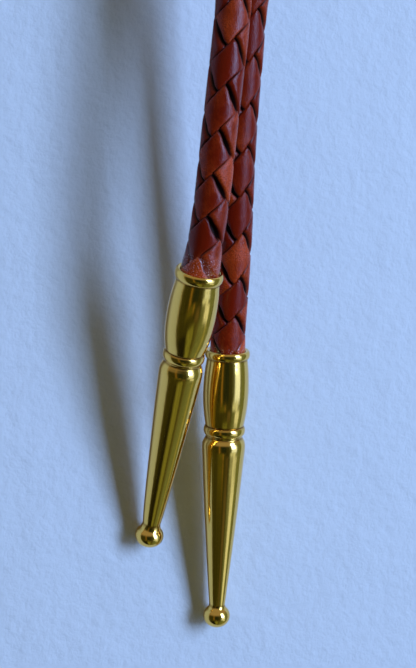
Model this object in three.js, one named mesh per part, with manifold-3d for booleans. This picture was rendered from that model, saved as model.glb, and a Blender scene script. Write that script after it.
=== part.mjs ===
// A bolo tie: one braided leather cord whose middle goes round the neck as a plain hanging loop, a
// slide that holds its two ends together, and a turned metal tip on each free end.
//
// Millimetres. +Z is up, the front of the tie faces -Y and +X is the wearer's left, the right of the
// view. The origin is the top of the loop's inner side, where the tie rests on a neck or a peg.

import * as THREE from "three";
import { mergeVertices } from "three/addons/utils/BufferGeometryUtils.js";
import Module from "manifold-3d";

// Cord
const cordDiameter = 5.6;
const cordSides = 12;
const loopSteps = 56; // lengths of the loop's tube, about two diameters each
const tailSteps = 12;
const gap = 0.3; // between a cord and what holds it, and between two lengths of cord

// Slide
const slideCentreZ = -280;
const slideWidth = 34;
const slideHeight = 42;
const plateThickness = 2.2;
const plateBevel = 0.5;
const channelSpacing = 7.2; // between the two cords' centre lines
const channelLength = 34;
const channelWall = 0.9;
const solderDepth = 0.3; // how far the channels sink into the plate's back
const roundSides = 28;

const cordRadius = cordDiameter / 2;
const boreRadius = cordRadius + gap;

// Tips
const tipSides = 22;
const socketDepth = 12;
const mouthRound = 0.3;

// The two tips are turned to one pattern but not quite alike: the left one is longer and fuller. Each
// has a lip, a barrel, a ring, a taper and a ball end, with how far each row of its outline is below
// the lip's top.
const leftTurning = {
  length: 52.7,
  lip: { drop: 0.89, radius: 4.14, height: 1.78, crown: 0.45 },
  barrel: [
    { drop: 1.78, radius: 3.69 },
    { drop: 2.58, radius: 3.81 },
    { drop: 4.57, radius: 4.07 },
    { drop: 7.45, radius: 4.21 },
    { drop: 10.42, radius: 4.12 },
    { drop: 12.8, radius: 3.83 },
    { drop: 14.8, radius: 3.37 },
  ],
  ring: { drop: 15.64, radius: 3.61, height: 1.68, crown: 0.45 },
  taper: [
    { drop: 16.48, radius: 3.26 },
    { drop: 16.83, radius: 3.18 },
    { drop: 17.27, radius: 3.39 },
    { drop: 17.97, radius: 3.67 },
    { drop: 18.96, radius: 3.76 },
    { drop: 21.44, radius: 3.63 },
    { drop: 25.8, radius: 3.36 },
    { drop: 32.55, radius: 2.88 },
    { drop: 39.9, radius: 2.35 },
    { drop: 45.85, radius: 1.84 },
    { drop: 48.15, radius: 1.58 },
  ],
  ball: { radius: 2.53, height: 4.22, neckRadius: 1.58 },
};
const rightTurning = {
  length: 51.15,
  lip: { drop: 0.75, radius: 3.93, height: 1.5, crown: 0.42 },
  barrel: [
    { drop: 1.5, radius: 3.52 },
    { drop: 2.25, radius: 3.62 },
    { drop: 4.15, radius: 3.84 },
    { drop: 6.95, radius: 3.97 },
    { drop: 9.65, radius: 3.9 },
    { drop: 11.75, radius: 3.66 },
    { drop: 13.55, radius: 3.36 },
  ],
  ring: { drop: 14.4, radius: 3.65, height: 1.65, crown: 0.45 },
  taper: [
    { drop: 15.25, radius: 3.3 },
    { drop: 15.6, radius: 3.2 },
    { drop: 16.0, radius: 3.42 },
    { drop: 16.65, radius: 3.7 },
    { drop: 17.65, radius: 3.79 },
    { drop: 20.15, radius: 3.62 },
    { drop: 24.65, radius: 3.3 },
    { drop: 31.65, radius: 2.75 },
    { drop: 38.75, radius: 2.15 },
    { drop: 44.65, radius: 1.62 },
    { drop: 46.95, radius: 1.4 },
  ],
  ball: { radius: 2.4, height: 4.25, neckRadius: 1.4 },
};

// Centre line of half the neck loop, from its top down into the slide's channel, at Y = 0.
const loopHalf = [
  { x: 0, z: 2.8 },
  { x: 27, z: -2 },
  { x: 50, z: -16 },
  { x: 66, z: -38 },
  { x: 73, z: -65 },
  { x: 72.5, z: -93 },
  { x: 66, z: -121 },
  { x: 55.5, z: -149 },
  { x: 43, z: -177 },
  { x: 30.5, z: -203 },
  { x: 19, z: -225 },
  { x: 10.5, z: -240 },
  { x: 5.8, z: -250.5 },
  { x: 3.9, z: -257.5 },
  { x: 3.6, z: -263 },
  { x: 3.6, z: -271 },
  { x: 3.6, z: -279.85 },
];

// Centre line of each free end, from the middle of the slide down to the tip's lip. The two cords
// leave the slide side by side, then the left one passes in front of the right one.
const leftRoute = [
  { x: -3.6, y: 0, z: -280.15 },
  { x: -3.6, y: 0, z: -290 },
  { x: -3.6, y: 0, z: -300 },
  { x: -3.58, y: -0.35, z: -304.2 },
  { x: -3.45, y: -1.5, z: -309 },
  { x: -3.25, y: -2.75, z: -314 },
  { x: -3.11, y: -3.6, z: -318.96 },
  { x: -3.52, y: -4.35, z: -323.39 },
  { x: -4.07, y: -5.1, z: -328.4 },
  { x: -5.18, y: -6.4, z: -338.04 },
  { x: -6.46, y: -7.35, z: -349.39 },
  { x: -7.25, y: -7.45, z: -355.22 },
  { x: -8.04, y: -7.25, z: -359.92 },
  { x: -8.6, y: -7, z: -362.84 },
];
const rightRoute = [
  { x: 3.6, y: 0, z: -280.15 },
  { x: 3.6, y: 0, z: -290 },
  { x: 3.6, y: 0, z: -300 },
  { x: 3.4, y: 0.4, z: -304.2 },
  { x: 2.55, y: 1.6, z: -309 },
  { x: 1.05, y: 2.5, z: -314 },
  { x: -0.15, y: 2.9, z: -319 },
  { x: -0.65, y: 2.95, z: -323.5 },
  { x: -1.0, y: 3.0, z: -328.4 },
  { x: -1.65, y: 3.0, z: -336.6 },
  { x: -2.1, y: 3.0, z: -343.8 },
  { x: -2.4, y: 3.0, z: -351 },
  { x: -2.7, y: 3.05, z: -358.4 },
  { x: -3.1, y: 3.15, z: -366.2 },
  { x: -3.58, y: 3.2, z: -372.9 },
  { x: -3.78, y: 3.2, z: -376.3 },
  { x: -3.88, y: 3.2, z: -378.85 },
];

// The direction that each tip points in. The left one leans back, towards what the tie hangs on.
const leftTipDirection = new THREE.Vector3(-9.1, 8.17, -49.5).normalize();
const rightTipDirection = new THREE.Vector3(-1.86, 0, -48.61).normalize();

const wasm = await Module();
wasm.setup();

const leather = new THREE.MeshStandardMaterial({ color: "#7a2513", roughness: 0.42, metalness: 0 });
const gold = new THREE.MeshStandardMaterial({ color: "#b8962e", roughness: 0.16, metalness: 1 });

const boloTie = new THREE.Group();

function addPiece(name, geometry, material) {
  const mesh = new THREE.Mesh(geometry, material);
  mesh.name = name;
  boloTie.add(mesh);
  return mesh;
}

// A cord is a tube with flat ends, swept along a smooth curve through its route's points.
function cordAlong(points, steps) {
  const path = new THREE.CatmullRomCurve3(points, false, "catmullrom", 0.5);
  path.arcLengthDivisions = 600;
  const section = new THREE.Shape();
  for (let side = 0; side < cordSides; side++) {
    const angle = (side / cordSides) * 2 * Math.PI;
    const x = cordRadius * Math.cos(angle);
    const y = cordRadius * Math.sin(angle);
    if (side === 0) section.moveTo(x, y);
    else section.lineTo(x, y);
  }
  return new THREE.ExtrudeGeometry(section, { steps, extrudePath: path, bevelEnabled: false });
}

function neckLoop() {
  const rightHalf = loopHalf.map(({ x, z }) => new THREE.Vector3(x, 0, z));
  const leftHalf = loopHalf.slice(1).reverse().map(({ x, z }) => new THREE.Vector3(-x, 0, z));
  return cordAlong([...leftHalf, ...rightHalf], loopSteps);
}

// A free end runs on, past its route's last point, to the bottom of the tip's socket.
function tail(route, tipDirection) {
  const points = route.map(({ x, y, z }) => new THREE.Vector3(x, y, z));
  const mouth = points[points.length - 1];
  const inside = socketDepth - gap;
  for (const depth of [inside / 2, inside]) {
    points.push(mouth.clone().addScaledVector(tipDirection, depth));
  }
  return cordAlong(points, tailSteps);
}

// Half of a turned bead, from its upper edge round to its lower one.
function beadOutline({ drop, radius, height, crown }, steps) {
  const [top, bottom] = [Math.PI / 2, -Math.PI / 2];
  const half = new THREE.EllipseCurve(radius - crown, -drop, crown, height / 2, top, bottom, true);
  return half.getPoints(steps);
}

function smoothOutline(rows, steps) {
  const points = rows.map(({ drop, radius }) => new THREE.Vector2(radius, -drop));
  return new THREE.SplineCurve(points).getPoints(steps);
}

// The ball end starts where its upper half meets the neck, and closes on the axis.
function ballOutline(ball, tipLength, steps) {
  const centre = -(tipLength - ball.height / 2);
  const neckAngle = Math.acos(ball.neckRadius / ball.radius);
  const points = [];
  for (let step = 0; step <= steps; step++) {
    const angle = neckAngle - (step / steps) * (neckAngle + Math.PI / 2);
    const radius = step === steps ? 0 : ball.radius * Math.cos(angle);
    points.push(new THREE.Vector2(radius, centre + (ball.height / 2) * Math.sin(angle)));
  }
  return points;
}

// One tip hangs down from its lip's top at the local origin, with the cord's socket in its top.
function turnedTip({ length, lip, barrel, ring, taper, ball }) {
  const socket = [new THREE.Vector2(0, -socketDepth), new THREE.Vector2(boreRadius, -socketDepth)];
  const mouth = [new THREE.Vector2(boreRadius, -mouthRound)];
  const outline = [
    ...socket,
    ...mouth,
    ...beadOutline(lip, 6),
    ...smoothOutline(barrel, 8).slice(1),
    ...beadOutline(ring, 6),
    ...smoothOutline(taper, 16).slice(1),
    ...ballOutline(ball, length, 8).slice(1),
  ];
  // A lathe turns the side to the right of its outline outwards, so the outline runs bottom to top.
  const turned = new THREE.LatheGeometry(outline.reverse(), tipSides);
  return turned.rotateX(Math.PI / 2);
}

function placeTip(mesh, route, direction) {
  const { x, y, z } = route[route.length - 1];
  mesh.position.set(x, y, z);
  mesh.quaternion.setFromUnitVectors(new THREE.Vector3(0, 0, -1), direction);
}

function toSolid(geometry) {
  const bare = geometry.clone();
  bare.deleteAttribute("normal");
  bare.deleteAttribute("uv");
  const merged = mergeVertices(bare, 1e-4);
  return new wasm.Manifold(
    new wasm.Mesh({
      numProp: 3,
      vertProperties: new Float32Array(merged.attributes.position.array),
      triVerts: new Uint32Array(merged.index.array),
    }),
  );
}

function toGeometry(solid) {
  const { numProp, vertProperties, triVerts } = solid.getMesh();
  const count = vertProperties.length / numProp;
  const positions = new Float32Array(count * 3);
  for (let vertex = 0; vertex < count; vertex++) {
    for (let axis = 0; axis < 3; axis++) {
      positions[vertex * 3 + axis] = vertProperties[vertex * numProp + axis];
    }
  }
  const geometry = new THREE.BufferGeometry();
  geometry.setAttribute("position", new THREE.BufferAttribute(positions, 3));
  geometry.setIndex(new THREE.BufferAttribute(new Uint32Array(triVerts), 1));
  return geometry;
}

// The slide: a flat oval plate with two round channels soldered side by side to its back. Each
// channel grips one side of the cord.
function slideClasp() {
  const channelRadius = boreRadius + channelWall;
  const plateBackY = solderDepth - channelRadius;
  const oval = new THREE.Shape();
  oval.absellipse(0, 0, slideWidth / 2 - plateBevel, slideHeight / 2 - plateBevel, 0, 2 * Math.PI);
  const plate = new THREE.ExtrudeGeometry(oval, {
    depth: plateThickness - 2 * plateBevel,
    bevelEnabled: true,
    bevelThickness: plateBevel,
    bevelSize: plateBevel,
    bevelSegments: 2,
    curveSegments: 44,
  });
  // The extrusion runs along Z from the back bevel; turned so that it runs towards the front.
  plate.translate(0, 0, plateBevel);
  plate.rotateX(Math.PI / 2);
  plate.translate(0, plateBackY, slideCentreZ);
  let clasp = toSolid(plate);
  const roundBar = (radius, length, side) => {
    const bar = new THREE.CylinderGeometry(radius, radius, length, roundSides);
    bar.rotateX(Math.PI / 2);
    bar.translate((side * channelSpacing) / 2, 0, slideCentreZ);
    return toSolid(bar);
  };
  for (const side of [-1, 1]) clasp = clasp.add(roundBar(channelRadius, channelLength, side));
  for (const side of [-1, 1]) clasp = clasp.subtract(roundBar(boreRadius, channelLength + 2, side));
  return toGeometry(clasp);
}

addPiece("neck_loop", neckLoop(), leather);
addPiece("left_tail", tail(leftRoute, leftTipDirection), leather);
addPiece("right_tail", tail(rightRoute, rightTipDirection), leather);
placeTip(addPiece("left_tip", turnedTip(leftTurning), gold), leftRoute, leftTipDirection);
placeTip(addPiece("right_tip", turnedTip(rightTurning), gold), rightRoute, rightTipDirection);
addPiece("slide", slideClasp(), gold);

export default boloTie;
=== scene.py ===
# A bolo tie of braided leather hanging in front of a pale wall: a long neck loop, an oval slide and
# two free ends with turned gold tips. Tables of the pieces are in millimetres.
import math
from bisect import bisect_right

import bmesh
import bpy
from mathutils import Matrix, Vector, noise


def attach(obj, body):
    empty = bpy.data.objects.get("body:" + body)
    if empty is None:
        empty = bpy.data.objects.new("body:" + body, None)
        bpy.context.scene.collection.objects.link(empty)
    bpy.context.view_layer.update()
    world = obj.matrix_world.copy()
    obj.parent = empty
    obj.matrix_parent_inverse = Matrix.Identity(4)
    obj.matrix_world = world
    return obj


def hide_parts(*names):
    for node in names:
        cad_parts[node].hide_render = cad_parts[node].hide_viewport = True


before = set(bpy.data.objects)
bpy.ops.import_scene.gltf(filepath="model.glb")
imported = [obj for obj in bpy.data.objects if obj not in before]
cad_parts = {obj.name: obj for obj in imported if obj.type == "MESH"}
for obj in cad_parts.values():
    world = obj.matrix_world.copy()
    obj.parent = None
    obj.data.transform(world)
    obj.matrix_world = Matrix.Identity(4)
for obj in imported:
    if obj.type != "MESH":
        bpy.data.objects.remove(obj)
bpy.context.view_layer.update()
scene = bpy.context.scene
mm = 0.001
joinedWithin = 1e-7  # vertices this close are one


# The camera looks at the wall from a little above the tips, as for the photograph.
cameraView = {
    "place": (-7.28, -309.46, -303.92), "pitch": 77, "lens": 100, "sensor": 36, "clipStart": 10,
}


def makeCamera():
    lens = bpy.data.cameras.new("camera")
    lens.lens = cameraView["lens"]
    lens.sensor_width = cameraView["sensor"]
    lens.clip_start = cameraView["clipStart"] * mm
    camera = bpy.data.objects.new("camera", lens)
    camera.location = Vector(cameraView["place"]) * mm
    camera.rotation_euler = (math.radians(cameraView["pitch"]), 0, 0)
    scene.collection.objects.link(camera)
    scene.camera = camera
    print("camera made")


def addObject(name, bm, smooth=True):
    mesh = bpy.data.meshes.new(name)
    for face in bm.faces:
        face.smooth = smooth
    bm.to_mesh(mesh)
    bm.free()
    obj = bpy.data.objects.new(name, mesh)
    scene.collection.objects.link(obj)
    return obj


def mix(a, b, amount):
    return a + (b - a) * amount


def smoothStep(low, high, value):
    x = min(1, max(0, (value - low) / (high - low)))
    return x * x * (3 - 2 * x)


# A smooth curve through points, which starts and ends in line with one more point on each side.
def smoothThrough(points, before, after, stepsPerSpan):
    ends = [before, *points, after]
    smooth = []
    for previous, start, end, following in zip(ends, ends[1:], ends[2:], ends[3:]):
        leave, arrive = (end - previous) / 2, (following - start) / 2
        for step in range(stepsPerSpan):
            u = step / stepsPerSpan
            smooth.append(
                (2 * start - 2 * end + leave + arrive) * u ** 3
                + (3 * end - 3 * start - 2 * leave - arrive) * u ** 2
                + leave * u
                + start
            )
    return [*smooth, points[-1]]


# Routes of the cord's centre line, in millimetres. Half the neck loop runs from its top down into
# the slide; each free end runs from the middle of the slide to the lip of its tip.
loopHalf = [
    (0, 2.8), (27, -2), (50, -16), (66, -38), (73, -65), (72.5, -93), (66, -121), (55.5, -149),
    (43, -177), (30.5, -203), (19, -225), (10.5, -240), (5.8, -250.5), (3.9, -257.5), (3.6, -263),
    (3.6, -271), (3.6, -279.85),
]
leftEnd = {
    "route": [
        (-3.6, 0, -280.15), (-3.6, 0, -290), (-3.6, 0, -300), (-3.58, -0.35, -304.2),
        (-3.45, -1.5, -309), (-3.25, -2.75, -314), (-3.11, -3.6, -318.96), (-3.52, -4.35, -323.39),
        (-4.07, -5.1, -328.4), (-5.18, -6.4, -338.04), (-6.46, -7.35, -349.39),
        (-7.25, -7.45, -355.22), (-8.04, -7.25, -359.92), (-8.6, -7, -362.84),
    ],
    "tipDirection": (-9.1, 8.17, -49.5),
    "length": 95.4,
    "notches": (-325.65, -333.0, -340.25, -347.4, -353.95),  # heights where one column's laces meet
    "column": (2, -12, -19, -25, -25),  # degrees from the front to that column at each notch
    "glue": {"reach": 5.2, "fill": 0.72, "swell": 0.34},  # reach: how far it has crept up
    "seed": 3,
}
rightEnd = {
    "route": [
        (3.6, 0, -280.15), (3.6, 0, -290), (3.6, 0, -300), (3.4, 0.4, -304.2), (2.55, 1.6, -309),
        (1.05, 2.5, -314), (-0.15, 2.9, -319), (-0.65, 2.95, -323.5), (-1.0, 3.0, -328.4),
        (-1.65, 3.0, -336.6), (-2.1, 3.0, -343.8), (-2.4, 3.0, -351), (-2.7, 3.05, -358.4),
        (-3.1, 3.15, -366.2), (-3.58, 3.2, -372.9), (-3.78, 3.2, -376.3), (-3.88, 3.2, -378.85),
    ],
    "tipDirection": (-1.86, 0, -48.61),
    "length": 111.25,
    "notches": (-320.8, -328.6, -336.5, -343.8, -351.2, -358.5, -366.2, -372.9),
    "column": (17, 17, 18, 18, 17, 16, 15, 6),
    "glue": {"reach": 1.4, "fill": 0.5, "swell": 0.1},
    "seed": 8,
}
cordLook = {
    "diameter": 5.6,
    "socketRun": 11.7,  # how far a cord goes into its tip
    "stepsPerSpan": 24,
    "pathEvery": 6,  # every so many of the line's points are returned as the cord's path
}


# A smooth line through a route's points, measured along its length.
class CordLine:
    def __init__(self, route):
        route = [Vector(point) for point in route]
        before, after = 2 * route[0] - route[1], 2 * route[-1] - route[-2]
        self.points = smoothThrough(route, before, after, cordLook["stepsPerSpan"])
        self.marks = [0]
        for a, b in zip(self.points, self.points[1:]):
            self.marks.append(self.marks[-1] + (b - a).length)
        self.length = self.marks[-1]
        nearby = [self.points[0], *self.points, self.points[-1]]
        self.directions = [(b - a).normalized() for a, b in zip(nearby, nearby[2:])]

    # Place and direction at a distance along the line, which runs straight on past its ends.
    def at(self, distance):
        inside = min(self.length, max(0, distance))
        i = min(len(self.points) - 2, max(0, bisect_right(self.marks, inside) - 1))
        share = (inside - self.marks[i]) / (self.marks[i + 1] - self.marks[i])
        direction = self.directions[i].lerp(self.directions[i + 1], share).normalized()
        place = self.points[i].lerp(self.points[i + 1], share)
        return place + direction * (distance - inside), direction

    # Distance along the line at which it passes a height, on a line that only falls.
    def atHeight(self, z):
        for i, (a, b) in enumerate(zip(self.points, self.points[1:])):
            if b.z <= z <= a.z:
                return mix(self.marks[i], self.marks[i + 1], (a.z - z) / (a.z - b.z))
        return self.length


# Four flat laces, two turning each way round the cord, each going over one and under the next.
# Lengths along a lace are counted in crossings, widths in shares of the space for one lace.
braid = {
    "middle": 1.8,  # radius of a lace's middle, halfway between over and under
    "rise": 0.56,
    "thickness": 1.15,
    "width": 5.76,  # of a lace that fills its space
    "pitch": 7.45,  # along the cord, between crossings of one column
    "crown": 0.04,
    "edgeRound": 0.3,
    "glueSpread": 2.6,  # how far up the swelling at a glued lip is felt
    "grainStep": 5.6,  # along a lace, between crossings, in the leather's pattern
    "grainApart": (37, 71),  # keeps the patterns of the laces apart
    # Chance differences of each stretch on top: a number that sets each kind apart, and its amount.
    "chances": {"width": (0, 0.05), "side": (9, 0.04), "height": (21, 0.07), "tone": (33, 1)},
    # Each way's width, how much wider it is on top than below, how far it swings, where it starts to
    # dive and is under, and how much sooner its middle dives than its edges.
    "falling": {"width": 1.06, "widen": -0.08, "lean": 0.56, "dive": 0.465, "under": 0.56, "hollow": 0.07},
    "rising": {"width": 1.2, "widen": 0.0, "lean": 0.34, "dive": 0.36, "under": 0.46, "hollow": 0.03},
}


# How far a lace swings sideways. It runs straight where it is on top, and steeper there than below.
def laceSwing(shape, crossing):
    wave = math.sin(math.pi * crossing) - math.sin(3 * math.pi * crossing) / 9
    return shape["lean"] / (2 * math.pi) * wave


# How high a lace rides at a distance in crossings from where it is on top: 1 on top, -1 below. Its
# middle dives a little before its edges, which keeps the corners of what shows sharp.
def laceRide(shape, crossing, across):
    fromTop = abs(crossing - 2 * round(crossing / 2)) + shape["hollow"] * (1 - across * across)
    return 1 - 2 * smoothStep(shape["dive"], shape["under"], fromTop)


# Places along a lace, close together where it dives.
def laceSteps(first, last, shares):
    steps = []
    for crossing in range(math.floor(first), math.ceil(last)):
        steps += [crossing + share for share in shares]
    return steps


# A number from -1 to 1 by chance, the same each time for the same three numbers.
def chance(a, b, c):
    return noise.noise(Vector(((a + 0.37) * 1.7, b * 2.3 + 0.71, c * 3.1 + 0.13)))


# The section of a lace: a flat top, rolled edges and a flat underside, as pairs from -1 to 1.
def laceSection(flatSteps, edgeSteps, edgeShare):
    section = []
    for step in range(flatSteps):
        section.append((mix(-1 + edgeShare, 1 - edgeShare, step / flatSteps), 1))
    for step in range(edgeSteps):
        angle = math.pi * step / edgeSteps
        section.append((1 - edgeShare + edgeShare * math.sin(angle), math.cos(angle)))
    flatBack = max(2, flatSteps // 2)
    for step in range(flatBack):
        section.append((mix(1 - edgeShare, -1 + edgeShare, step / flatBack), -1))
    for step in range(edgeSteps):
        angle = math.pi * step / edgeSteps
        section.append((-1 + edgeShare - edgeShare * math.sin(angle), -math.cos(angle)))
    return section


noGlue = {"reach": 1, "fill": 0, "swell": 0}  # for a cord with no lip


# A braid along a line. columnAt gives the angle of the column of falling laces at a distance, and
# glue fills the braid near the lip.
def braidedCord(name, line, distanceAt, columnAt, turns, seed, cuts, detail, lip=math.inf, glueLook=noGlue):
    bm = bmesh.new()
    coordinates = bm.verts.layers.float_vector.new("laceCoordinates")
    depth = bm.verts.layers.float.new("depth")
    tone = bm.verts.layers.float.new("tone")
    edge = bm.verts.layers.float.new("edge")
    glue = bm.verts.layers.float.new("glue")
    halfThick = braid["thickness"] / 2
    section = laceSection(detail["flat"], detail["edge"], 2 * braid["edgeRound"] / braid["width"])
    around = len(section)
    stops = laceSteps(2 * turns[0] - 2, 2 * turns[1] + 2, detail["shares"])
    steps = len(stops) - 1
    for family in (0, 1):
        shape, other = braid["falling"], braid["rising"]
        if family:
            shape, other = other, shape
        for index in (0, 1):
            made = bmesh.ops.create_grid(bm, x_segments=steps, y_segments=around, size=0.5)
            for vertex in made["verts"]:
                along = round((vertex.co.x + 0.5) * steps)
                t = stops[along]
                across, lift = section[round((vertex.co.y + 0.5) * around) % around]
                crossing = t + index + family
                swing = laceSwing(shape, t + index)
                # Chance differences belong to the nearest stretch on top and fade out below.
                nearest = 2 * round(crossing / 2)
                onTop = (1 + math.cos(math.pi * crossing)) / 2
                by = {
                    kind: amount * chance(seed + apart, nearest + 0.5 * index, family + 0.5 * index)
                    for kind, (apart, amount) in braid["chances"].items()
                }
                wide = shape["width"] * (1 + shape["widen"] * (2 * onTop - 1) + by["width"] * onTop)
                v = across * wide / 2 + by["side"] * onTop
                # It dives along the edge of the lace that crosses it, whose swing bends that edge.
                bend = laceSwing(other, v)
                if family:
                    theta, w = (index + v - t) / 2 - swing, (index + v + t) / 2
                    fullRide = laceRide(shape, crossing + swing - bend, across)
                else:
                    theta, w = (index + v + t) / 2 - swing, (t - index - v) / 2
                    fullRide = laceRide(shape, crossing - swing + bend, across)
                distance = distanceAt(w)
                place, direction = line.at(distance)
                aboveLip = lip - distance
                glued = 1 - smoothStep(glueLook["reach"] / 2, glueLook["reach"], aboveLip)
                ride = 1 - (1 - fullRide) * (1 - glueLook["fill"] * glued)
                radius = braid["middle"] + braid["rise"] * ride + lift * halfThick
                radius += braid["crown"] * (1 - across * across) * onTop
                radius += by["height"] * onTop
                radius += glueLook["swell"] * math.exp(-(aboveLip / braid["glueSpread"]) ** 2)
                front = Vector((0, -1, 0))
                front = (front - direction * front.dot(direction)).normalized()
                side = front.cross(direction)
                angle = theta * math.pi + math.radians(columnAt(distance))
                vertex.co = (place + radius * (front * math.cos(angle) + side * math.sin(angle))) * mm
                apart = index * braid["grainApart"][0] + family * braid["grainApart"][1]
                vertex[coordinates] = (t * braid["grainStep"] + apart, v * braid["width"], family)
                # How low the point lies, under another lace or on its underside; the leather paints shade by
                # it.
                vertex[depth] = max((1 - ride) / 2, (1 - lift) / 2)
                vertex[tone] = by["tone"]
                vertex[edge] = abs(across)
                vertex[glue] = glued
    bmesh.ops.remove_doubles(bm, verts=bm.verts, dist=joinedWithin)
    for point, outward in cuts:
        everything = [*bm.verts, *bm.edges, *bm.faces]
        bmesh.ops.bisect_plane(
            bm, geom=everything, dist=joinedWithin, plane_co=Vector(point) * mm, plane_no=outward,
            clear_outer=True,
        )
    bmesh.ops.holes_fill(bm, edges=[edge for edge in bm.edges if edge.is_boundary], sides=0)
    bmesh.ops.recalc_face_normals(bm, faces=bm.faces)
    return addObject(name, bm)


tailDetail = {
    "shares": (0, 0.13, 0.25, 0.35, 0.4, 0.435, 0.465, 0.495, 0.525, 0.56, 0.6, 0.66, 0.76, 0.88),
    "flat": 8,
    "edge": 5,
}
loopDetail = {"shares": (0, 0.2, 0.37, 0.43, 0.48, 0.53, 0.59, 0.75), "flat": 5, "edge": 3}


def makeTail(name, end):
    onward = Vector(end["tipDirection"]).normalized()
    lip = Vector(end["route"][-1])
    socketRun = cordLook["socketRun"]
    line = CordLine([*end["route"], lip + onward * socketRun / 2, lip + onward * socketRun])
    marks = [line.atHeight(z) for z in end["notches"]]

    # Turns of the braid to distance: half a turn at the first notch, one and a half at the second.
    def distanceAt(turns):
        place = turns - 0.5
        i = min(len(marks) - 2, max(0, math.floor(place)))
        if place < 0:
            return marks[0] + place * braid["pitch"]
        if place > len(marks) - 1:
            return marks[-1] + (place - len(marks) + 1) * (marks[-1] - marks[-2])
        return mix(marks[i], marks[i + 1], place - i)

    def columnAt(distance):
        i = min(len(marks) - 2, max(0, bisect_right(marks, distance) - 1))
        share = min(1, max(0, (distance - marks[i]) / (marks[i + 1] - marks[i])))
        return mix(end["column"][i], end["column"][i + 1], share)

    firstTurn = 0.5 - marks[0] / braid["pitch"]
    lastTurn = len(marks) - 0.5 + (line.length - marks[-1]) / (marks[-1] - marks[-2])
    cuts = [(line.points[0], (0, 0, 1)), (line.points[-1], onward)]
    tail = braidedCord(
        name, line, distanceAt, columnAt, (firstTurn, lastTurn), end["seed"], cuts, tailDetail,
        lip=line.length - socketRun, glueLook=end["glue"],
    )
    print(name, "is", round(line.length, 1), "mm long with", len(tail.data.polygons), "faces")
    return tail, [point * mm for point in line.points[::cordLook["pathEvery"]]]


loopLook = {"column": -15, "seed": 5}  # degrees from the loop's front to a column of falling laces


def makeLoop():
    rightHalf = [(x, 0, z) for x, z in loopHalf]
    leftHalf = [(-x, 0, z) for x, z in loopHalf[:0:-1]]
    line = CordLine(leftHalf + rightHalf)
    turns = round(line.length / braid["pitch"])
    bottom = (0, 0, loopHalf[-1][1])
    loop = braidedCord(
        "braided_neck_loop", line, lambda turn: turn * line.length / turns,
        lambda distance: loopLook["column"], (0, turns), loopLook["seed"], [(bottom, (0, 0, -1))], loopDetail,
    )
    print("neck loop is", round(line.length, 1), "mm long with", len(loop.data.polygons), "faces")
    return loop


# The turned tips, which are not quite alike: half-ellipse beads and a ball, with smooth rows of drop
# and radius between them.
tip = {
    "socketDepth": 12,
    "boreRadius": 3.02,
    "mouthDepth": 0.5,  # of the rounding between the lip and the bore
    "grooveReach": 0.35,  # tarnish sits this close to a groove
    "mouthSteps": 6,
    "beadSteps": 14,
    "rowSteps": 6,
    "ballSteps": 24,
    "spinSteps": 96,
}
leftTurning = {
    "length": 52.7,
    "lip": {"drop": 0.89, "radius": 4.14, "height": 1.78, "crown": 0.45},
    "barrel": [
        (1.78, 3.69), (2.58, 3.81), (4.57, 4.07), (7.45, 4.21), (10.42, 4.12), (12.8, 3.83), (14.8, 3.37),
    ],
    "ring": {"drop": 15.64, "radius": 3.61, "height": 1.68, "crown": 0.45},
    "taper": [
        (16.48, 3.26), (16.83, 3.18), (17.27, 3.39), (17.97, 3.67), (18.96, 3.76), (21.44, 3.63),
        (25.8, 3.36), (32.55, 2.88), (39.9, 2.35), (45.85, 1.84), (48.15, 1.58),
    ],
    "ball": {"radius": 2.53, "height": 4.22, "neckRadius": 1.58},
}
rightTurning = {
    "length": 51.15,
    "lip": {"drop": 0.75, "radius": 3.93, "height": 1.5, "crown": 0.42},
    "barrel": [
        (1.5, 3.52), (2.25, 3.62), (4.15, 3.84), (6.95, 3.97), (9.65, 3.9), (11.75, 3.66), (13.55, 3.36),
    ],
    "ring": {"drop": 14.4, "radius": 3.65, "height": 1.65, "crown": 0.45},
    "taper": [
        (15.25, 3.3), (15.6, 3.2), (16.0, 3.42), (16.65, 3.7), (17.65, 3.79), (20.15, 3.62),
        (24.65, 3.3), (31.65, 2.75), (38.75, 2.15), (44.65, 1.62), (46.95, 1.4),
    ],
    "ball": {"radius": 2.4, "height": 4.25, "neckRadius": 1.4},
}


def smoothRows(rows):
    rows = [Vector(row) for row in rows]
    return [tuple(row) for row in smoothThrough(rows, rows[0], rows[-1], tip["rowSteps"])]


def beadRows(bead):
    rows = []
    for step in range(tip["beadSteps"] + 1):
        angle = math.pi * step / tip["beadSteps"]
        drop = bead["drop"] - bead["height"] / 2 * math.cos(angle)
        rows.append((drop, bead["radius"] - bead["crown"] * (1 - math.sin(angle))))
    return rows


def tipOutline(turning):
    lip, ball = turning["lip"], turning["ball"]
    bore, mouth = tip["boreRadius"], lip["radius"] - lip["crown"]
    rows = [(tip["socketDepth"], 0), (tip["socketDepth"], bore)]
    for step in range(tip["mouthSteps"] + 1):
        angle = math.pi / 2 * step / tip["mouthSteps"]
        rows.append((tip["mouthDepth"] * (1 - math.sin(angle)), mouth - (mouth - bore) * math.cos(angle)))
    rows += beadRows(lip)[1:]
    rows += smoothRows(turning["barrel"])[1:]
    rows += beadRows(turning["ring"])
    rows += smoothRows(turning["taper"])[1:]
    centre = turning["length"] - ball["height"] / 2
    neck = math.acos(ball["neckRadius"] / ball["radius"])
    last = tip["ballSteps"]
    for step in range(1, last + 1):
        angle = mix(-neck, math.pi / 2, step / last)
        radius = 0 if step == last else ball["radius"] * math.cos(angle)
        rows.append((centre + ball["height"] / 2 * math.sin(angle), radius))
    return rows


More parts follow.
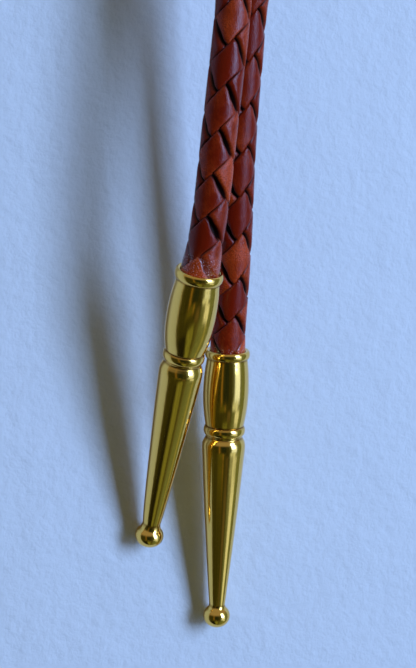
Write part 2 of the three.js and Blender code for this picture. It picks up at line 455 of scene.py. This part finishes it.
def makeTip(name, end, turning):
    bm = bmesh.new()
    groove = bm.verts.layers.float.new("groove")
    barrel, taper = turning["barrel"], turning["taper"]
    grooves = [barrel[0][0], barrel[-1][0], taper[1][0], taper[-1][0]]
    outline = []
    for drop, radius in tipOutline(turning):
        vertex = bm.verts.new((radius * mm, 0, -drop * mm))
        beside = max(math.exp(-((drop - place) / tip["grooveReach"]) ** 2) for place in grooves)
        vertex[groove] = beside if radius > tip["boreRadius"] or drop > tip["socketDepth"] else 0
        outline.append(vertex)
    for a, b in zip(outline, outline[1:]):
        bm.edges.new((a, b))
    bmesh.ops.spin(
        bm, geom=[*bm.verts, *bm.edges], cent=(0, 0, 0), axis=(0, 0, 1), dvec=(0, 0, 0),
        angle=2 * math.pi, steps=tip["spinSteps"], use_merge=True,
    )
    bmesh.ops.remove_doubles(bm, verts=bm.verts, dist=joinedWithin)
    bmesh.ops.recalc_face_normals(bm, faces=bm.faces)
    direction = Vector(end["tipDirection"]).normalized()
    turn = Vector((0, 0, -1)).rotation_difference(direction).to_matrix().to_4x4()
    place = Matrix.Translation(Vector(end["route"][-1]) * mm)
    bmesh.ops.transform(bm, matrix=place @ turn, verts=bm.verts)
    print(name, "turned")
    return addObject(name, bm)


# The slide: an oval plate with two channels soldered to its back, one for each side of the cord.
slide = {
    "centre": -280,
    "width": 34,
    "height": 42,
    "thickness": 2.2,
    "bevel": 0.5,
    "bevelSteps": 5,
    "sharpAngle": 35,
    "spacing": 7.2,
    "channelLength": 34,
    "boreRadius": 3.1,
    "boreOverrun": 2,
    "wall": 0.9,
    "solder": 0.3,
    "plateSides": 128,
    "channelSides": 64,
}


def combine(target, other, operation):
    cut = target.modifiers.new("cut", "BOOLEAN")
    cut.operation = operation
    cut.object = other
    cut.solver = "EXACT"
    bpy.context.view_layer.update()
    evaluated = target.evaluated_get(bpy.context.evaluated_depsgraph_get())
    result = bpy.data.meshes.new_from_object(evaluated)
    target.modifiers.clear()
    target.data = result
    bpy.data.objects.remove(other)


def slideBar(name, radius, length, side):
    bm = bmesh.new()
    bmesh.ops.create_cone(
        bm, cap_ends=True, segments=slide["channelSides"], radius1=radius * mm, radius2=radius * mm,
        depth=length * mm,
        matrix=Matrix.Translation(Vector((side * slide["spacing"] / 2, 0, slide["centre"])) * mm),
    )
    return addObject(name, bm)


def makeSlide():
    channelRadius = slide["boreRadius"] + slide["wall"]
    back = slide["solder"] - channelRadius
    bm = bmesh.new()
    bmesh.ops.create_circle(bm, cap_ends=True, segments=slide["plateSides"], radius=0.5)
    bmesh.ops.scale(bm, vec=(slide["width"] * mm, slide["height"] * mm, 1), verts=bm.verts)
    made = bmesh.ops.extrude_face_region(bm, geom=bm.faces[:])
    raised = [item for item in made["geom"] if isinstance(item, bmesh.types.BMVert)]
    bmesh.ops.translate(bm, vec=(0, 0, slide["thickness"] * mm), verts=raised)
    bmesh.ops.recalc_face_normals(bm, faces=bm.faces)
    rims = [edge for edge in bm.edges if abs(edge.verts[0].co.z - edge.verts[1].co.z) < joinedWithin]
    bmesh.ops.bevel(
        bm, geom=rims, offset=slide["bevel"] * mm, segments=slide["bevelSteps"], profile=0.5,
        affect="EDGES", material=-1,
    )
    upright = Matrix.Rotation(math.radians(90), 4, "X")
    place = Matrix.Translation(Vector((0, back, slide["centre"])) * mm)
    bmesh.ops.transform(bm, matrix=place @ upright, verts=bm.verts)
    plate = addObject("slide_plate", bm)
    for side in (-1, 1):
        combine(plate, slideBar("channel", channelRadius, slide["channelLength"], side), "UNION")
    boreLength = slide["channelLength"] + slide["boreOverrun"]
    for side in (-1, 1):
        combine(plate, slideBar("bore", slide["boreRadius"], boreLength, side), "DIFFERENCE")
    bm = bmesh.new()
    bm.from_mesh(plate.data)
    bmesh.ops.remove_doubles(bm, verts=bm.verts, dist=joinedWithin)
    for edge in bm.edges:
        edge.smooth = edge.is_manifold and edge.calc_face_angle() < math.radians(slide["sharpAngle"])
    for face in bm.faces:
        face.smooth = True
    bm.to_mesh(plate.data)
    bm.free()
    print("slide made")
    return plate


# One output of a node. Arithmetic on it adds Math nodes; node() adds any other.
class Wire:
    def __init__(self, tree, socket=None):
        self.tree, self.socket = tree, socket

    def node(self, kind, inputs=None, output=0, **settings):
        made = self.tree.nodes.new(kind)
        for name, value in settings.items():
            setattr(made, name, value)
        for key, value in (inputs or {}).items():
            if isinstance(value, Wire):
                self.tree.links.new(value.socket, made.inputs[key])
            else:
                made.inputs[key].default_value = value
        return Wire(self.tree, made.outputs[output] if made.outputs else None)

    def math(self, operation, first, second=0.0):
        return self.node("ShaderNodeMath", {0: first, 1: second}, operation=operation)

    def __add__(self, other):
        return self.math("ADD", self, other)

    def __sub__(self, other):
        return self.math("SUBTRACT", self, other)

    def __rsub__(self, other):
        return self.math("SUBTRACT", other, self)

    def __mul__(self, other):
        return self.math("MULTIPLY", self, other)

    __radd__, __rmul__ = __add__, __mul__

    # 0 below one value and 1 above another, with a soft change between them
    def between(self, low, high):
        return self.node(
            "ShaderNodeMapRange", {"Value": self, "From Min": low, "From Max": high},
            interpolation_type="SMOOTHSTEP",
        )

    # the first colour where this is 0 and the second where it is 1
    def blend(self, first, second):
        return self.node("ShaderNodeMix", {0: self, 6: first, 7: second}, output=2, data_type="RGBA")

    def noise(self, scale, detail, roughness=0.5):
        return self.node(
            "ShaderNodeTexNoise",
            {"Vector": self, "Scale": scale, "Detail": detail, "Roughness": roughness},
        )

    def stretched(self, *scale):
        return self.node("ShaderNodeMapping", {"Vector": self, "Scale": scale})

    def bump(self, strength, distance):
        return self.node("ShaderNodeBump", {"Height": self, "Strength": strength, "Distance": distance})


def newMaterial(name):
    material = bpy.data.materials.new(name)
    material.use_nodes = True
    material.node_tree.nodes.clear()
    return material, Wire(material.node_tree)


def finishMaterial(material, wires, inputs):
    shader = wires.node("ShaderNodeBsdfPrincipled", inputs)
    wires.node("ShaderNodeOutputMaterial", {"Surface": shader})
    return material


def solid(red, green, blue):
    return (red, green, blue, 1)


leatherLook = {
    "body": solid(0.17, 0.0085, 0.0015),
    "light": solid(0.55, 0.062, 0.008),
    "dark": solid(0.01, 0.0015, 0.001),
    # glue: the pale colour of the specks painted as glints on the glue.
    "glue": solid(0.55, 0.42, 0.4),
    "roughness": 0.19,
    "specular": 0.2,
    "glueGloss": 0.6,
    "relief": 0.00017,  # metres
}


def leatherMaterial():
    material, wires = newMaterial("waxed_leather")
    lace = wires.node("ShaderNodeAttribute", output="Vector", attribute_name="laceCoordinates")
    depth, tone, edge, glue = (
        wires.node("ShaderNodeAttribute", output="Fac", attribute_name=name)
        for name in ("depth", "tone", "edge", "glue")
    )
    wrinkle = lace.stretched(0.5, 1.5, 1).noise(1.9, 4, 0.6)
    grain = lace.noise(4.2, 3, 0.6)
    cloud = lace.noise(0.28, 2)
    worn = (tone + cloud * 2 - 1).between(-0.2, 0.7)
    light = (tone * 0.9 + cloud * 0.9 + wrinkle * 0.5 - 0.5).between(0.0, 0.9)
    colour = light.blend(leatherLook["body"], leatherLook["light"])
    pore = grain.between(0.5, 0.36) * (0.25 + worn * 0.4)
    colour = pore.blend(colour, leatherLook["dark"])
    # Painted shade: the leather is darkened where it dives under another lace and on its underside, by the
    # depth attribute. The darker cut edges of the laces are darkened with it.
    paintedShadeAndDarkEdge = depth.math("MAXIMUM", depth.between(0.1, 0.55), edge.between(0.84, 1) * 0.85)
    colour = paintedShadeAndDarkEdge.blend(colour, leatherLook["dark"])
    # Painted highlight: pale specks near a lip stand in for glints on the clear glue.
    paintedGlueGlint = glue.between(0.94, 1) * grain.between(0.59, 0.66)
    colour = (paintedGlueGlint * 0.75).blend(colour, leatherLook["glue"])
    roughness = leatherLook["roughness"] + (grain - 0.5) * 0.25 + paintedShadeAndDarkEdge * 0.25 + worn * 0.1 - glue * 0.1
    height = wrinkle * 0.5 + grain * (0.4 + worn * 0.6)
    return finishMaterial(material, wires, {
        "Base Color": colour,
        "Roughness": roughness,
        "Normal": height.bump(0.6, leatherLook["relief"]),
        "Coat Weight": glue * leatherLook["glueGloss"],
        "Coat Roughness": 0.2,
        "Specular IOR Level": leatherLook["specular"],
    })


goldLook = {
    "polished": solid(0.93, 0.58, 0.13),
    "tarnished": solid(0.42, 0.22, 0.04),
    "roughness": 0.12,
    "relief": 0.0002,  # metres
}


def goldMaterial():
    material, wires = newMaterial("gold_plate")
    place = wires.node("ShaderNodeTexCoord", output="Object")
    groove = wires.node("ShaderNodeAttribute", output="Fac", attribute_name="groove")
    cloud = place.noise(260, 3)
    fine = place.noise(2400, 3, 0.7)
    scratch = place.stretched(1, 1, 0.06).noise(3500, 2)
    wear = (groove * 0.8 + cloud * 0.5 - 0.3).between(0.1, 0.9)
    colour = wear.blend(goldLook["polished"], goldLook["tarnished"])
    roughness = goldLook["roughness"] + (fine - 0.5) * 0.12 + wear * 0.12
    height = cloud * 0.5 + scratch * 0.25 + fine * 0.12
    return finishMaterial(material, wires, {
        "Base Color": colour,
        "Metallic": 1.0,
        "Roughness": roughness,
        "Normal": height.bump(0.1, goldLook["relief"]),
    })


# The wall stands behind the tie, close to the tips' ball ends. It leans away upwards, and its right
# side is turned away from the camera.
wall = {
    "right": -6,
    "height": -430,
    "depth": 6.4,
    "lean": 6.9,
    "turn": 20,
    "size": 1600,
    "colour": solid(0.61, 0.61, 0.6),
    "roughness": 0.8,
    "specular": 0.2,
    "relief": 0.001,  # metres
}


# Plaster on the wall's front. Its back is clear, so that the tie is seen from behind as well.
def wallMaterial():
    material, wires = newMaterial("plaster_wall")
    place = wires.node("ShaderNodeTexCoord", output="Object")
    broad, pits = place.noise(90, 3), place.noise(520, 4, 0.6)
    plaster = wires.node("ShaderNodeBsdfPrincipled", {
        "Base Color": wall["colour"],
        "Roughness": wall["roughness"],
        "Normal": (broad * 0.8 + pits * 0.45).bump(0.6, wall["relief"]),
        "Specular IOR Level": wall["specular"],
    })
    behind = wires.node("ShaderNodeNewGeometry", output="Backfacing")
    clear = wires.node("ShaderNodeBsdfTransparent")
    seen = wires.node("ShaderNodeMixShader", {0: behind, 1: plaster, 2: clear})
    wires.node("ShaderNodeOutputMaterial", {"Surface": seen})
    return material


def makeWall():
    bm = bmesh.new()
    bmesh.ops.create_grid(bm, x_segments=1, y_segments=1, size=wall["size"] / 2 * mm)
    lean = Matrix.Rotation(math.radians(90 - wall["lean"]), 4, "X")
    turn = Matrix.Rotation(math.radians(wall["turn"]), 4, "Z")
    place = Matrix.Translation(Vector((wall["right"], wall["depth"], wall["height"])) * mm)
    bmesh.ops.transform(bm, matrix=place @ turn @ lean, verts=bm.verts)
    backdrop = addObject("wall", bm, smooth=False)
    backdrop.data.materials.append(wallMaterial())
    print("wall made")


# The window's light stands off from a point on the tips, at degrees to the right of the camera and
# above level.
window = {
    "towards": (-7, 0, -375),
    "right": 55,
    "up": 16,
    "distance": 1100,
    "size": (360, 710),
    "power": 17,
    "colour": (0.345, 0.55, 1.0),
}


def makeWindow():
    lamp = bpy.data.lights.new("window", "AREA")
    lamp.shape = "RECTANGLE"
    lamp.size, lamp.size_y = (side * mm for side in window["size"])
    lamp.energy = window["power"]
    lamp.color = window["colour"]
    right, up = math.radians(window["right"]), math.radians(window["up"])
    away = Vector((math.sin(right) * math.cos(up), -math.cos(right) * math.cos(up), math.sin(up)))
    obj = bpy.data.objects.new("window", lamp)
    obj.location = (Vector(window["towards"]) + away * window["distance"]) * mm
    obj.rotation_euler = away.to_track_quat("Z", "Y").to_euler()
    obj.visible_camera = False
    scene.collection.objects.link(obj)
    print("window made")


# The room that the gold mirrors, as soft-edged patches painted one over another. Each has its left
# and right in degrees from the camera, the softness of those edges, its bottom and top as shares of
# straight up, and its colour.
allHeights, aboveTable, tableTop, underTable, floor = (
    (-1.1, 1.1), (-0.34, 1.1), (-0.43, -0.34), (-0.56, -0.43), (-1.1, -0.57)
)
roomPatches = {
    "leftWall": ((-200, -67), 6, allHeights, (0.28, 0.32, 0.3)),
    "leftShelf": ((-98, -55), 12, (-0.42, -0.34), (0.07, 0.08, 0.02)),
    "lamp": ((-26, -17), 3, aboveTable, (0.18, 0.13, 0.035)),
    "tableEdge": ((-30, 6), 5, tableTop, (0.09, 0.1, 0.02)),
    "tableGlint": ((-5, 1), 3, tableTop, (0.24, 0.18, 0.06)),
    "stool": ((10, 28), 4, (-0.55, -0.44), (0.11, 0.1, 0.055)),
    "floorGap": ((-56, -18), 8, floor, (0.013, 0.014, 0.006)),
    "doorway": ((-12, 14), 6, aboveTable, (0.016, 0.024, 0.014)),
    "floorMiddle": ((-14, 16), 7, floor, (0.17, 0.215, 0.072)),
    "floorMat": ((22, 42), 6, floor, (0.085, 0.1, 0.04)),
    "rightWall": ((38, 200), 12, allHeights, (0.14, 0.2, 0.13)),
    "farWall": ((120, 200), 12, allHeights, (0.32, 0.39, 0.42)),
    "windowPane": ((45, 75), 4, aboveTable, (0.95, 1.35, 2.6)),
    "windowSill": ((38, 68), 6, tableTop, (0.64, 0.86, 1.15)),
    "lowerPane": ((57, 79), 6, underTable, (0.8, 1.05, 1.5)),
    "floorGlow": ((77, 87), 5, floor, (0.3, 0.36, 0.2)),
}
room = {
    "dim": solid(0.035, 0.04, 0.012),
    "heightSoft": 0.035,
    "ceiling": solid(0.3, 0.28, 0.25),
    "ceilingFrom": (0.2, 0.6),
    "seen": solid(0.42, 0.5, 0.62),  # what the camera sees past the wall
}


def makeRoom():
    world = bpy.data.worlds.new("room")
    scene.world = world
    world.use_nodes = True
    world.node_tree.nodes.clear()
    wires = Wire(world.node_tree)
    direction = wires.node("ShaderNodeTexCoord", output="Generated")
    sideways, away, height = (
        wires.node("ShaderNodeSeparateXYZ", {"Vector": direction}, output=axis) for axis in "XYZ"
    )
    bearing = wires.math("ARCTAN2", sideways, away * -1) * (180 / math.pi)

    def within(value, low, high, soft):
        return value.between(low - soft, low + soft) * value.between(high + soft, high - soft)

    light = room["dim"]
    for bearings, soft, heights, colour in roomPatches.values():
        inside = within(bearing, *bearings, soft) * within(height, *heights, room["heightSoft"])
        light = inside.blend(light, solid(*colour))
    clutter = direction.stretched(1, 1, 0.2).noise(15, 5, 0.7)
    light = wires.node("ShaderNodeVectorMath", {0: light, "Scale": clutter * 2.4 - 0.2}, operation="SCALE")
    light = height.between(*room["ceilingFrom"]).blend(light, room["ceiling"])
    seen = wires.node("ShaderNodeLightPath", output="Is Camera Ray")
    backdrop = wires.node("ShaderNodeBackground", {"Color": seen.blend(light, room["seen"]), "Strength": 1.0})
    wires.node("ShaderNodeOutputWorld", {"Surface": backdrop})
    print("room made")


scene.view_settings.view_transform = "Standard"
makeCamera()
leftTail, leftPath = makeTail("braided_left_end", leftEnd)
rightTail, rightPath = makeTail("braided_right_end", rightEnd)
leftTip = makeTip("turned_left_tip", leftEnd, leftTurning)
rightTip = makeTip("turned_right_tip", rightEnd, rightTurning)
loop = makeLoop()
clasp = makeSlide()

leather, gold = leatherMaterial(), goldMaterial()
pieces = [
    (leftTail, "left_tail", "leather", leather),
    (rightTail, "right_tail", "leather", leather),
    (loop, "neck_loop", "leather", leather),
    (leftTip, "left_tip", "gold", gold),
    (rightTip, "right_tip", "gold", gold),
    (clasp, "slide", "gold", gold),
]
for piece, node, slotName, material in pieces:
    piece.data.materials.clear()
    piece.data.materials.append(material)
    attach(piece, "root")
    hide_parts(node)
channelEnd = slide["centre"] - slide["channelLength"] / 2
for tail, path, end, fitting, side in (
    (leftTail, leftPath, leftEnd, leftTip, -1),
    (rightTail, rightPath, rightEnd, rightTip, 1),
):
    Vector((side * slide["spacing"] / 2, 0, channelEnd)) * mm
    end["length"] * mm
print("pieces placed")

makeWall()
makeWindow()
makeRoom()
